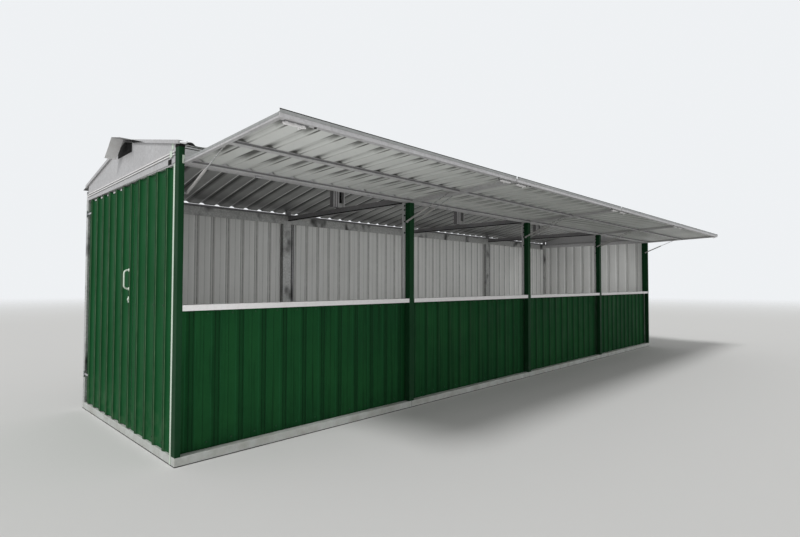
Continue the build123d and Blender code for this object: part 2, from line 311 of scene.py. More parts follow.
def zinc_finish(name, light, dark, soil, metallic=0.35):
    """Galvanised steel: small crystals, broad clouding, run marks, and soil near the ground."""
    f = Finish(name, metallic)
    crystal = f.cells(70)
    cloud = f.noise(2.2, 4)
    runs = f.noise(1.0, 3, f.stretched(16, 16, 0.8))
    tone = f.mix(f.range(crystal, 0, 1, 0.0, 0.45), light, dark)
    tone = f.mix(f.range(cloud, 0.35, 0.7, 0.0, 0.55), tone, dark)
    tone = f.mix(f.range(runs, 0.55, 0.75, 0.0, 0.18), tone, soil)
    ground = f.times(f.range(f.height(), 0.02, 0.35, 0.5, 0.0), f.range(f.noise(9, 5), 0.4, 0.65, 0.0, 1.0))
    f.colour(f.mix(ground, tone, soil))
    f.rough(f.range(crystal, 0, 1, 0.38, 0.56))
    f.bump(f.noise(60), 0.12, 0.0004)
    return f.mat


def paint_finish(name, colour, faded, dust_and_edge_shading, gloss=0.5, edge_shading=0.55, shade=None, specular=0.1,
                 lip=None, eave_shade=None, streaks=0.10):
    """Coated sheet: slight fading, dust runs, splashed soil at the foot, and painted shading in the dust
    colour on the edges of the crowns. Where they are given, the ribs get painted shade by their depth,
    their feet a painted highlight, and the lowest part of the roof painted shade."""
    f = Finish(name, 0.0, specular)
    tone = f.mix(f.range(f.noise(1.6, 4), 0.35, 0.7, 0.0, 0.8), colour, faded)
    runs = f.noise(1.0, 4, f.stretched(30, 30, 1.2))
    tone = f.mix(f.range(runs, 0.55, 0.8, 0.0, streaks), tone, dust_and_edge_shading)
    if shade:
        # Painted shade on the ribs, where the mesh marks their depth
        rib_shade = f.times(f.mark("rib_shade"), f.range(f.noise(3.0), 0.3, 0.7, 0.75, 1.0))
        tone = f.mix(rib_shade, tone, shade)
    if lip:
        # Painted highlight along the feet of the ribs
        tone = f.mix(f.times(f.mark("lip"), f.range(f.noise(8), 0.3, 0.7, 0.6, 1.0)), tone, lip)
    if eave_shade:
        # Painted shade on the lowest part of the roof's underside
        tone = f.mix(f.range(f.height(), 2.10, 2.20, 0.9, 0.0), tone, eave_shade)
    # Painted shading on the crowns' edges: pale painted highlights on the green walls, dark painted lines
    # elsewhere
    edge = f.times(f.mark("edge"), f.range(f.noise(14, 4), 0.3, 0.7, edge_shading / 2, edge_shading))
    tone = f.mix(edge, tone, dust_and_edge_shading)
    foot = f.times(f.range(f.height(), 0.05, 0.4, 0.22, 0.0), f.range(f.noise(12, 5), 0.42, 0.7, 0.0, 1.0))
    f.colour(f.mix(foot, tone, dust_and_edge_shading))
    f.rough(f.range(f.noise(5, 4), 0.3, 0.7, gloss - 0.06, gloss + 0.12))
    f.bump(f.noise(240, 2), 0.06, 0.0003)
    return f.mat


def painted_reflection_finish(name, light, dark):
    """Bright galvanised channel with large soft dark patches of painted reflection of its surroundings."""
    f = Finish(name, 0.45)
    patches = f.noise(1.0, 2, f.stretched(5, 5, 3.2))
    tone = f.mix(f.range(patches, 0.54, 0.68, 0.0, 1.0), light, dark)
    f.colour(f.mix(f.range(f.cells(70), 0, 1, 0.0, 0.3), tone, dark))
    f.rough(f.range(f.noise(9), 0.3, 0.7, 0.3, 0.5))
    f.bump(f.noise(60), 0.1, 0.0004)
    return f.mat


def plain_finish(name, colour, faded, metallic, rough, specular=0.4):
    """Small fittings: two close shades in fine patches, with a little unevenness."""
    f = Finish(name, metallic, specular)
    f.colour(f.mix(f.range(f.noise(45, 4), 0.35, 0.7, 0.0, 1.0), colour, faded))
    f.rough(f.range(f.noise(90), 0.3, 0.7, rough - 0.07, rough + 0.1))
    f.bump(f.noise(300, 2), 0.08, 0.0002)
    return f.mat


# Camera, light and floor

def make_camera():
    data = bpy.data.cameras.new("camera")
    data.lens = camera_lens
    data.sensor_width = camera_sensor
    data.clip_end = camera_reach
    forward = Vector((sin(camera_yaw) * cos(camera_pitch), cos(camera_yaw) * cos(camera_pitch),
                      sin(camera_pitch)))
    right = Vector((cos(camera_yaw), -sin(camera_yaw), 0))
    up = right.cross(forward)
    turn = Matrix((right, up, -forward)).transposed() @ Matrix.Rotation(camera_roll, 3, "Z")
    camera = new_object("camera", data)
    camera.matrix_world = Matrix.Translation(at(*camera_place)) @ turn.to_4x4()
    bpy.context.scene.camera = camera


def make_world():
    """Even light from all round, and a pale background for the camera and for reflections."""
    world = bpy.data.worlds.new("studio")
    world.use_nodes = True
    bpy.context.scene.world = world
    world.node_tree.nodes.clear()
    nodes = Nodes(world.node_tree)
    rays = nodes.new("LightPath").outputs
    light = nodes.new("Background", (1, 1, 1), ambient)
    shown = nodes.new("Background", background)
    seen = nodes.either(rays["Is Camera Ray"], rays["Is Glossy Ray"])
    seen = nodes.either(seen, rays["Is Transmission Ray"])
    nodes.new("OutputWorld", nodes.blend(seen, light, shown))


def make_lamp(name, kind, facing, power):
    data = bpy.data.lights.new(name, kind)
    data.energy = power
    lamp = new_object(name, data)
    lamp.rotation_euler = Vector(facing).to_track_quat("-Z", "Y").to_euler()
    return lamp


def make_sun(name, direction, strength, angle):
    lamp = make_lamp(name, "SUN", direction, strength)
    lamp.data.angle = radians(angle)


def make_soft_lamp(name, middle, facing, size, power):
    """A soft rectangular lamp that lights the kiosk but isn't seen."""
    lamp = make_lamp(name, "AREA", facing, power)
    lamp.data.shape = "RECTANGLE"
    lamp.data.size = size[0]
    lamp.data.size_y = size[1]
    lamp.location = at(*middle)
    lamp.visible_camera = False
    lamp.visible_glossy = False


def make_floor():
    """A pale ground that fades into the background far away."""
    mesh = bpy.data.meshes.new("floor")
    square = [(-floor_reach, -floor_reach, 0), (floor_reach, -floor_reach, 0),
              (floor_reach, floor_reach, 0), (-floor_reach, floor_reach, 0)]
    mesh.from_pydata(square, [], [(0, 1, 2, 3)])
    ground = new_object("floor", mesh)
    ground.location.z = -0.001
    f = Finish("floor", 0.0, 0.0)
    f.colour(floor_colour)
    f.rough(0.9)
    distance = f.new("VectorMath", f.place)
    distance.operation = "LENGTH"
    fade = f.new("MapRange", distance.outputs["Value"], fade_start, fade_end)
    fade.interpolation_type = "SMOOTHSTEP"
    shown = f.blend(fade.outputs["Result"], f.shader, f.new("BsdfTransparent"))
    f.put(shown, f.tree.nodes["Material Output"].inputs["Surface"])
    mesh.materials.append(f.mat)


# Mesh building

def circle(centre, side, other, radius, sides):
    """Points on a circle, from one direction towards another."""
    turns = [2 * pi * k / sides for k in range(sides)]
    return [tuple(centre + (side * cos(turn) + other * sin(turn)) * radius) for turn in turns]


class Build:
    """Gathers simple forms into one piece. Points are in millimetres."""

    def __init__(self):
        self.points = []
        self.faces = []
        self.mats = []

    def add(self, points, faces, mat=0):
        base = len(self.points)
        self.points += points
        self.faces += [tuple(base + i for i in face) for face in faces]
        self.mats += [mat] * len(faces)

    def bar(self, x, y, z, mat=0, place=None):
        """A straight bar between two values on each axis."""
        points = [(x[i & 1], y[i >> 1 & 1], z[i >> 2]) for i in range(8)]
        faces = [(0, 2, 3, 1), (4, 5, 7, 6), (0, 1, 5, 4), (2, 6, 7, 3), (0, 4, 6, 2), (1, 3, 7, 5)]
        if place:
            points = [place(*p) for p in points]
        self.add(points, faces, mat)

    def turned(self, profile, start, end, sides=20, closed=False, mat=0):
        """A round form about the line from start to end. The profile holds radius and distance."""
        start = Vector(start)
        axis = (Vector(end) - start).normalized()
        side = axis.orthogonal().normalized()
        other = axis.cross(side)
        rows = []
        points = []
        for radius, along in profile:
            count = sides if radius > 0 else 1
            rows.append(range(len(points), len(points) + count))
            points += circle(start + axis * along, side, other, radius, count)
        faces = []
        for low, high in zip(rows, rows[1:] + rows[:1] if closed else rows[1:]):
            for k in range(sides):
                n = (k + 1) % sides
                if len(low) == 1 and len(high) > 1:
                    faces.append((low[0], high[n], high[k]))
                elif len(high) == 1 and len(low) > 1:
                    faces.append((low[k], low[n], high[0]))
                elif len(low) > 1:
                    faces.append((low[k], low[n], high[n], high[k]))
        self.add(points, faces, mat)

    def rod(self, start, end, radius, sides=20, mat=0):
        """A round bar with small rounded ends."""
        run = (Vector(end) - Vector(start)).length
        r = 0.6
        profile = [(0, 0), (radius - r, 0), (radius, r), (radius, run - r), (radius - r, run), (0, run)]
        self.turned(profile, start, end, sides, mat=mat)

    def ring(self, start, end, inner, outer, sides=20, mat=0):
        run = (Vector(end) - Vector(start)).length
        self.turned([(inner, 0), (outer, 0), (outer, run), (inner, run)], start, end, sides, True, mat)

    def pipe(self, path, radius, sides):
        """A round bar along a path of points."""
        path = [Vector(p) for p in path]
        rows = []
        points = []
        side = None
        for i, p in enumerate(path):
            ahead = (path[min(i + 1, len(path) - 1)] - path[max(i - 1, 0)]).normalized()
            side = (side - ahead * side.dot(ahead)).normalized() if side else ahead.orthogonal().normalized()
            rows.append(range(len(points), len(points) + sides))
            points += circle(p, side, ahead.cross(side), radius, sides)
        faces = [tuple(reversed(rows[0])), tuple(rows[-1])]
        for low, high in zip(rows, rows[1:]):
            faces += [(low[k], low[(k + 1) % sides], high[(k + 1) % sides], high[k]) for k in range(sides)]
        self.add(points, faces)

    def drawn(self, outline, ends, run, place, mat):
        """An outline of (a, b) points drawn along run, in place(run, a, b), with its end faces."""
        n = len(outline)
        points = [place(run[0], *p) for p in outline] + [place(run[1], *p) for p in outline]
        faces = [(i, (i + 1) % n, (i + 1) % n + n, i + n) for i in range(n)]
        for end in ends:
            faces.append(tuple(reversed(end)))
            faces.append(tuple(k + n for k in end))
        self.add(points, faces, mat)

    def prism(self, outline, run, place, mat=0):
        """A closed outline drawn along run."""
        self.drawn(outline, [range(len(outline))], run, place, mat)

    def folded(self, line, thickness, run, place, mat=0):
        """Bent sheet: an open line given a thickness and drawn along run."""
        line = [Vector(p) for p in line]
        other = []
        for i, p in enumerate(line):
            before = (p - line[i - 1]).normalized() if i else None
            after = (line[i + 1] - p).normalized() if i + 1 < len(line) else None
            first = before or after
            second = after or before
            mid = Vector((-(first.y + second.y), first.x + second.x))
            normal = Vector((-first.y, first.x))
            mid.normalize()
            other.append(p + mid * (thickness / max(mid.dot(normal), 0.3)))
        n = 2 * len(line)
        ends = [(i, i + 1, n - 2 - i, n - 1 - i) for i in range(len(line) - 1)]
        self.drawn(line + other[::-1], ends, run, place, mat)

    def finish(self, name, body, mats, stands_for=(), bevel=0.0, sharp=32, marks=None):
        """Makes the piece, with its values at the points, and lets it ride on its body."""
        mesh = bpy.data.meshes.new(name)
        mesh.from_pydata([at(*p) for p in self.points], [], self.faces)
        for mat in mats:
            mesh.materials.append(mat)
        mesh.polygons.foreach_set("material_index", self.mats)
        for label, values in (marks or {}).items():
            mesh.attributes.new(label, "FLOAT", "POINT").data.foreach_set("value", values)
        work = bmesh.new()
        work.from_mesh(mesh)
        bmesh.ops.dissolve_degenerate(work, edges=work.edges, dist=0.00001)
        bmesh.ops.recalc_face_normals(work, faces=work.faces)
        work.to_mesh(mesh)
        work.free()
        mesh.polygons.foreach_set("use_smooth", [True] * len(mesh.polygons))
        mesh.set_sharp_from_angle(angle=radians(sharp))
        obj = new_object(name, mesh)
        if bevel:
            soften(obj, bevel)
        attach(obj, body)
        if stands_for:
            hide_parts(*stands_for)


def soften(obj, width):
    """Small rounded edges."""
    bevel = obj.modifiers.new("edges", "BEVEL")
    bevel.width = width / 1000
    bevel.segments = 2
    bevel.limit_method = "ANGLE"
    bevel.angle_limit = radians(40)
    bevel.use_clamp_overlap = True


def weld_and_soften(obj, width):
    """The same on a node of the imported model, whose faces share no points."""
    weld = obj.modifiers.new("weld", "WELD")
    weld.merge_threshold = 0.00002
    soften(obj, width)


# Ribbed sheets

def rib_folds(width, first_rib, bead, spread, one_lip):
    """Folds across a sheet: place, depth, and the marks of a crown's edge and of a rib's foot. With
    one_lip only the far foot of a rib is marked."""
    near_lip = 0 if one_lip else 1
    folds = [(0, rib_height, 0, 0)]
    middle = first_rib
    while middle + rib_foot < width:
        if spread:
            folds.append((middle - rib_foot - spread, rib_height, 0, near_lip))
        folds += [(middle - rib_foot, rib_height, 0, near_lip), (middle - rib_crown / 2, crown_inset, 1, 0),
                  (middle + rib_crown / 2, crown_inset, 1, 0), (middle + rib_foot, rib_height, 0, 1)]
        if spread:
            folds.append((middle + rib_foot + spread, rib_height, 0, 1))
        pan = middle + rib_pitch / 2
        if bead and pan + bead_width < width:
            folds += [(pan - bead_width / 2, rib_height, 0, 0), (pan, rib_height - bead_height, 0.8, 0),
                      (pan + bead_width / 2, rib_height, 0, 0)]
        middle += rib_pitch
    folds.append((width, rib_height, 0, 0))
    return folds


def rounded_folds(folds, ease):
    """The same line with rounded corners and points on the flats, and the marks only at the corners."""
    wide_flat = 60
    flat_step = 38
    short_side = 30
    side_share = 2.2
    line = [(*folds[0][:2], 0, 0)]
    for before, here, after in zip(folds, folds[1:], folds[2:]):
        b, h, a = Vector(before[:2]), Vector(here[:2]), Vector(after[:2])
        run_in = min(ease, (b - h).length / side_share)
        run_out = min(ease, (a - h).length / side_share)
        p0 = h + (b - h).normalized() * run_in
        p2 = h + (a - h).normalized() * run_out
        gap = p0.x - line[-1][0]
        if gap > wide_flat:
            steps = int(gap // flat_step)
            x0 = line[-1][0]
            line += [(x0 + gap * k / steps, p0.y, 0, 0) for k in range(1, steps)]
        lip_in = before[3] * here[3] if (b - h).length < short_side else 0
        lip_out = here[3] * after[3] if (a - h).length < short_side else 0
        line += [(p0.x, p0.y, 0, lip_in), (*((p0 + 2 * h + p2) / 4), *here[2:]), (p2.x, p2.y, 0, lip_out)]
    line.append((*folds[-1][:2], 0, 0))
    return line


def centred_rib(width):
    ribs = floor((width - 2 * rib_foot) / rib_pitch) + 1
    return (width - (ribs - 1) * rib_pitch) / 2


def ribbed(name, stands_for, body, mats, width, run, first_rib, place, rows=12, seed=0.0,
           depth_of_shade=None, steepness=1.0, bead=True, mouth=0.0, ease=5, spread=0, one_lip=False):
    """A ribbed sheet with a coated face, a back and thin rims. place(u, d, v) puts a point across,
    into and along the sheet. The painted shade of the ribs is marked by their depth, times
    depth_of_shade(v), and the marks reach the mouths of the hollows with more steepness."""
    wave_across = 260
    wave_along = 420
    wave_height = 0.5
    shade_start = 0.14
    line = rounded_folds(rib_folds(width, first_rib, bead, spread, one_lip), ease)
    n = len(line)
    part = Build()
    marks = {"edge": [], "rib_shade": [], "lip": []}
    for back in (0, 1):
        for j in range(rows + 1):
            v = run * j / rows
            shade = depth_of_shade(v) if depth_of_shade else 1.0
            for u, d, edge, lip in line:
                wave = noise.noise(Vector((u / wave_across + seed, v / wave_along, seed * 3.1)))
                swell = wave_height * wave * min(1, j, rows - j) * (d / rib_height)
                part.points.append(place(u, d + swell - skin_out + back * skin_thickness, v))
                # Painted shade by the depth of the rib, reaching the feet where mouth is given
                depth_mark = steepness * max(0, 1 - d / rib_height - shade_start)
                marks["edge"].append(edge)
                marks["rib_shade"].append(shade * min(1, max(depth_mark, mouth * lip)))
                marks["lip"].append(lip)
    size = n * (rows + 1)
    for j in range(rows):
        for i in range(n - 1):
            a = j * n + i
            part.faces.append((a, a + 1, a + n + 1, a + n))
            part.faces.append((size + a, size + a + n, size + a + n + 1, size + a + 1))
            part.mats += [0, 1]
    rims = [(j * n + i, (j + 1) * n + i) for j in range(rows) for i in (0, n - 1)]
    for a, b in rims:
        part.faces.append((a, b, b + size, a + size))
    for i in range(n - 1):
        for j in (0, rows):
            a = j * n + i
            part.faces.append((a, a + 1, a + 1 + size, a + size))
    part.mats += [0] * (len(part.faces) - len(part.mats))
    part.finish(name, body, mats, stands_for, sharp=38, marks=marks)


# The kiosk's materials, by fresh tone, faded or dark tone, and soil, or dust that also paints edge shading

# Green coat, with painted shade on the raised ribs and a pale painted highlight on the crowns' edges
green = paint_finish("green_coat", (0.009, 0.072, 0.022), (0.012, 0.088, 0.029), (0.15, 0.25, 0.14),
                     edge_shading=0.85, shade=(0.003, 0.032, 0.009), specular=0.03)
# Same green darkened as painted shade for the front; painted shade lines on crown edges, highlight at rib
# feet
front_green_in_shade = paint_finish("front_green_coat_in_shade", (0.008, 0.056, 0.018), (0.013, 0.082, 0.024),
                           (0.002, 0.012, 0.004), edge_shading=1.0, shade=(0.005, 0.034, 0.011), specular=0.04,
                           lip=(0.014, 0.085, 0.032), streaks=0.7)
dark = paint_finish("dark_paint", (0.007, 0.038, 0.014), (0.011, 0.050, 0.020), (0.06, 0.07, 0.055),
                    gloss=0.45, edge_shading=0.2, specular=0.05)
# Back coat: painted shade in the hollows, dark painted lines on their edges, painted highlights at the mouths
inner = paint_finish("inner_coat", (0.73, 0.735, 0.72), (0.64, 0.645, 0.63), (0.10, 0.10, 0.095),
                     gloss=0.45, edge_shading=0.9, shade=(0.56, 0.56, 0.55), specular=0.3, lip=(0.86, 0.86, 0.85))
# Back coat under the roof, darkened as painted shade; painted shade in hollows and by the eave, painted
# highlights
roof_inner = paint_finish("roof_inner_coat", (0.40, 0.405, 0.395), (0.25, 0.255, 0.25),
                          (0.012, 0.012, 0.012), gloss=0.45, edge_shading=1.0, shade=(0.07, 0.07, 0.068),
                          specular=0.3, lip=(0.9, 0.9, 0.89), eave_shade=(0.045, 0.045, 0.045))
# Back coat under the flaps, darkened as painted shade, with painted shade in the hollows and on their edges
flap_inner = paint_finish("flap_inner_coat", (0.60, 0.61, 0.59), (0.52, 0.53, 0.51), (0.20, 0.20, 0.195),
                          gloss=0.4, edge_shading=0.4, shade=(0.065, 0.065, 0.06), specular=0.4)
zinc = zinc_finish("zinc_sheet", (0.52, 0.515, 0.52), (0.40, 0.395, 0.40), (0.30, 0.28, 0.26))
zinc_tube = zinc_finish("zinc_tube", (0.60, 0.595, 0.60), (0.44, 0.43, 0.44), (0.30, 0.27, 0.24))
pale = zinc_finish("pale_strip", (0.80, 0.79, 0.79), (0.70, 0.69, 0.69), (0.50, 0.46, 0.42), 0.1)
base_zinc = zinc_finish("base_zinc", (0.56, 0.58, 0.56), (0.46, 0.48, 0.46), (0.30, 0.29, 0.25), 0.1)
white = zinc_finish("white_strip", (0.62, 0.71, 0.61), (0.52, 0.60, 0.51), (0.36, 0.37, 0.31), 0.0)
flap_trim = zinc_finish("flap_trim", (0.37, 0.38, 0.375), (0.30, 0.31, 0.305), (0.25, 0.25, 0.24), 0.3)
# Zinc of the trusses, darkened as painted shade
shaded_truss_zinc = zinc_finish("shaded_truss_zinc", (0.25, 0.245, 0.25), (0.17, 0.165, 0.17), (0.12, 0.115, 0.11), 0.3)
shaded_zinc = zinc_finish("shaded_zinc", (0.20, 0.20, 0.205), (0.13, 0.13, 0.135), (0.10, 0.09, 0.085), 0.2)
# Darker zinc for the painted shadow lines under the gable's folds and at its foot
fold_shadow_zinc = zinc_finish("fold_shadow_zinc", (0.27, 0.27, 0.27), (0.20, 0.20, 0.20), (0.16, 0.15, 0.14), 0.2)
zinc_with_painted_reflections = painted_reflection_finish("zinc_with_painted_reflections", (0.52, 0.525, 0.515), (0.07, 0.07, 0.068))
bolt = plain_finish("bolt_zinc", (0.55, 0.55, 0.56), (0.38, 0.38, 0.40), 0.6, 0.4)
strut_coat = plain_finish("strut_coat", (0.50, 0.49, 0.48), (0.42, 0.41, 0.40), 0.3, 0.4)
rod_steel = plain_finish("rod_steel", (0.62, 0.62, 0.62), (0.52, 0.52, 0.52), 0.8, 0.25)
black = plain_finish("black_rubber", (0.006, 0.006, 0.006), (0.012, 0.012, 0.012), 0.0, 0.75, 0.1)
handle_coat = plain_finish("handle_coat", (0.78, 0.86, 0.75), (0.68, 0.76, 0.66), 0.1, 0.35)
green_bolt = plain_finish("green_bolt", (0.010, 0.070, 0.024), (0.016, 0.050, 0.022), 0.0, 0.45, 0.2)


# Walls

def front_place(start):
    def place(u, d, v):
        x = start + u
        z = front_panel_drop + v
        if x < inner_face or x > length - inner_face:
            z = max(z, inner_face)
        return (x, inner_face + d, z)
    return place


def rear_place(start):
    return lambda u, d, v: (start - u, depth - d, inner_face + v)


def front_sheets():
    width = front_run - seat_gap
    for bay in range(bays):
        start = sheet_depth + seat_gap + bay * front_run
        ribbed(f"front_sheet_{bay + 1}", [f"front_panel_{bay + 1}"], "frame",
               (front_green_in_shade, inner), width, counter_top - front_panel_drop, centred_rib(width),
               front_place(start), rows=8, seed=bay + 1.5)


def rear_sheets():
    """One sheet to a bay. The first one stands for the whole rear wall's node."""
    width = rear_run - seat_gap
    for bay in range(bays):
        start = length - inner_face - bay * rear_run
        ribbed(f"rear_sheet_{bay + 1}", ["rear_panels"] if bay == 0 else [], "frame",
               (green, inner), width, wall_span[1] - wall_span[0], centred_rib(width), rear_place(start),
               seed=bay + 20.7, ease=8)


def end_sheet(name, stands_for, side, y, z, first_rib, seed, steepness, body="frame"):
    """Sheet of an end wall or of the door, between two values of y and of z. Its ribs are counted
    from the far edge, as in the source of the solids."""
    last_rib = first_rib + rib_pitch * floor((y[1] - rib_foot - first_rib) / rib_pitch)
    to_end = at_end(side)

    def place(u, d, v):
        return to_end(d, y[1] - u, z[0] + v)

    ribbed(name, [stands_for], body, (green, inner), y[1] - y[0], z[1] - z[0],
           y[1] - last_rib, place, seed=seed, steepness=steepness, bead=False)


def end_sheets():
    before_door = (inner_face, door_start - fit_gap)
    door_heights = (tube + fit_gap, wall_top - fit_gap)
    whole = (inner_face, rear_face)
    end_sheet("left_sheet", "left_wall_panel", "left", before_door, wall_span, first_wall_rib, 7.3, 1.7)
    end_sheet("door_skin", "door_sheet", "left", door_span, door_heights, first_door_rib, 9.1, 1.7, "door")
    end_sheet("right_sheet", "right_wall_panel", "right", whole, wall_span, first_wall_rib, 11.9, 1.0)


# Roof

def roof_run(overhang):
    return (ridge_y + overhang - seat_gap) / cos(roof_pitch)


def roof_place(overhang, rear):
    a = roof_pitch - pi / 2
    y0 = -overhang - sheet_depth * sin(roof_pitch)
    z0 = roof_under(-overhang) + sheet_depth * cos(roof_pitch)

    def place(u, d, v):
        x = -end_overhang + u
        y = y0 + d * cos(a) - v * sin(a)
        z = z0 + d * sin(a) + v * cos(a)
        return (length - x, depth - y, z) if rear else (x, y, z)
    return place


def roof_sheets():
    for side, overhang in (("front", front_overhang), ("rear", eave_overhang)):
        rear = side == "rear"
        ribbed(f"roof_skin_{side}", [f"roof_sheet_{side}"], "frame", (zinc, roof_inner),
               roof_width, roof_run(overhang), centred_rib(roof_width), roof_place(overhang, rear),
               rows=8, seed=31.2 + rear, bead=False, ease=9, spread=8, one_lip=True)


# Flaps: sheet, frame with its hinge halves, and slide bolts

def flap_start(bay):
    return post_middle(bay) + flap_gap


def flap_place(bay):
    def place(u, d, v):
        return raised(flap_start(bay) + u, flap_length - v, flap_tube + seat_gap + sheet_depth - d)
    return place


def flap_hinge_middles(bay):
    return [flap_start(bay) + flap_width / 4, flap_start(bay) + flap_width * 3 / 4]


def flap_shade(v):
    """How dark the painted shade in the hollows of a flap's ribs is: most where the middle rail casts its
    shadow, and by its free edge.
    """
    along = flap_length - v
    if along < flap_mid_rail:
        return ramp(along, 210, 320, 0.12, 1.0)
    if along < flap_mid_rail + 110:
        return ramp(along, flap_mid_rail, flap_mid_rail + 110, 1.0, 0.25)
    return ramp(along, flap_length - 245, flap_length - 165, 0.2, 1.0)


def flap_sheet(bay):
    ribbed(f"flap_skin_{bay + 1}", [f"flap_sheet_{bay + 1}"], f"flap_{bay + 1}",
           (green, flap_inner), flap_width, flap_length, centred_rib(flap_width), flap_place(bay), rows=24,
           seed=40.3 + bay, depth_of_shade=flap_shade, steepness=3.2, bead=False, mouth=1.0, ease=4,
           spread=11)


def flap_frame(bay):
    part = Build()
    start = flap_start(bay)
    end = start + flap_width
    free_edge = far_rail[1]
    section = (0, flap_tube)
    across = (start + flap_tube + seat_gap, end - flap_tube - seat_gap)
    middle_rail = around(flap_mid_rail, flap_tube / 2)
    for side_rail in ((start, start + flap_tube), (end - flap_tube, end)):
        part.bar(side_rail, (0, free_edge), section, place=raised)
    for rail in (section, middle_rail, far_rail):
        part.bar(across, rail, section, place=raised)
        if rail != far_rail:
            # A painted shade line on the rail's outer face
            part.bar(across, (rail[1], rail[1] + 0.8), (8, 21), 1, raised)
    # Seals along the outer faces of the side rails
    for seal in ((start - 1.5, start), (end, end + 1.5)):
        part.bar(seal, (6, free_edge - 4), (11, flap_tube + 2), 3, raised)
    # Trim under the free edge and up over the rib ends
    outer = flap_length + seat_gap
    top = flap_tube + sheet_depth
    line = [(far_rail[0], flap_tube), (outer, flap_tube), (outer, top - 5)]
    part.folded(line, -flashing, (start, end), raised, 3)
    part.bar((start, end), (outer, outer + flashing), (top - 5, top), 2, raised)
    # Hinge halves
    half = hinge_length / 6 - 1
    for x in flap_hinge_middles(bay):
        part.bar(around(x, half), section, leaf_depth, place=raised)
        knuckle = [raised(x + k, 0, -hinge_drop) for k in (-half, half)]
        part.ring(*knuckle, pin_bore, knuckle_radius)
    # Studs that the gas struts push on, with their nuts
    for x, side in ((start + flap_tube, 1), (end - flap_tube, -1)):
        foot, nut_top, tip = [raised(x + side * out, strut_reach, flap_tube / 2) for out in (0, 1, 4)]
        part.rod(foot, tip, 4)
        part.turned([(0, 0), (8, 0), (8, 1.5), (0, 1.5)], foot, nut_top, 16)
    part.finish(f"flap_rails_{bay + 1}", f"flap_{bay + 1}",
                [zinc_tube, shaded_zinc, black, flap_trim], [f"flap_frame_{bay + 1}"], bevel=1.2)


def slide_bolt(part, x, side):
    """Slide bolt on a plate under a flap's outer rail, near one of its ends."""
    along = flap_length - 37
    plate_under = -2.5
    bolt_drop = -9

    def bar(low, high, width, z, mat):
        ends = (x + side * low, x + side * high)
        part.bar((min(ends), max(ends)), around(along, width), z, mat, raised)

    def rod(start, end, radius, sides=20, mat=0):
        first, last = [raised(x + side * out, along + aside, rise) for out, aside, rise in (start, end)]
        part.rod(first, last, radius, sides, mat)

    # The plate is in darker zinc, as painted shadow beside the bolt
    bar(-4, 144, 19, (plate_under, -0.1), 2)
    rod((-6, 0, bolt_drop), (134, 0, bolt_drop), 6)
    for step in (12, 64, 116):
        bar(step - 8, step + 8, 11, (-15.5, plate_under), 0)
    bar(22, 110, 7.5, (-15, -3), 0)
    rod((88, 0, bolt_drop), (88, 0, -28), 3.5)
    rod((184, 18, 0.2), (184, 18, -4), 8, 12, 1)


def slide_bolts(bay):
    part = Build()
    aside = 46
    slide_bolt(part, flap_start(bay) + aside, 1)
    slide_bolt(part, flap_start(bay) + flap_width - aside, -1)
    part.finish(f"slide_bolts_{bay + 1}", f"flap_{bay + 1}", [pale, black, shaded_zinc],
                bevel=0.8)


# Gas struts, drawn along the line between their two pivots

low_end = (strut_inset, hinge_z - strut_drop)
high_end = raised(0, strut_reach, flap_tube / 2)[1:]
open_length = hypot(high_end[0] - low_end[0], high_end[1] - low_end[1])
closed_y = hinge_y - hinge_drop - flap_tube / 2
closed_length = hypot(closed_y - low_end[0], hinge_z - strut_reach - low_end[1])
body_length = closed_length - eye_radius - 4
rod_length = open_length - body_length + 20


def on_strut(x, distance):
    share = distance / open_length
    y, z = [low + (high - low) * share for low, high in zip(low_end, high_end)]
    return (x, y, z)


def eye(part, x, distance, mat=0):
    first, last = [on_strut(x + k * eye_thickness / 2, distance) for k in (-1, 1)]
    part.ring(first, last, 4.25, eye_radius, 24, mat)


def gas_struts(bay):
    """The two struts of a flap: tubes with a groove near the head, and rods with a collar."""
    tubes = Build()
    rods = Build()
    neck = eye_radius - 1.5
    head = body_length
    collar = open_length - eye_radius - 3.4
    profile = [(strut_bore, neck), (8, neck + 3), (strut_radius, neck + 6), (strut_radius, head - 7),
               (8.2, head - 6), (8.2, head - 4), (strut_radius, head - 3), (8, head), (4.5, head),
               (strut_bore, head - bore_depth)]
    for x in (post_middle(bay) + strut_offset, post_middle(bay + 1) - strut_offset):
        top = on_strut(x, open_length)
        eye(tubes, x, 0)
        tubes.turned(profile, on_strut(x, 0), top, 24, closed=True)
        eye(rods, x, open_length, 1)
        rods.rod(on_strut(x, open_length - rod_length), on_strut(x, open_length - eye_radius + 1), 3.9, 18)
        rods.turned([(4.2, 0), (6, 0.6), (6, 2.4), (4.2, 3)], on_strut(x, collar), top, 16, True, 1)
    tubes.finish(f"strut_tubes_{bay + 1}", f"strut_body_{bay + 1}", [strut_coat],
                 [f"strut_bodies_{bay + 1}"])
    rods.finish(f"strut_pistons_{bay + 1}", f"strut_rod_{bay + 1}", [rod_steel, strut_coat],
                [f"strut_rods_{bay + 1}"])


# Hinge halves and strut pins on the frame

def outer_knuckles(part, line, web):
    """Pin and outer knuckles of a hinge. line(k) is a point of its line, and web(a, b) joins a knuckle
    to the leaf."""
    half = hinge_length / 2
    third = hinge_length / 6
    part.rod(line(-half - 1), line(half + 1), hinge_pin)
    for a, b in ((-half, -third), (third, half)):
        part.ring(line(a), line(b), hinge_pin, knuckle_radius)
        web(a, b)


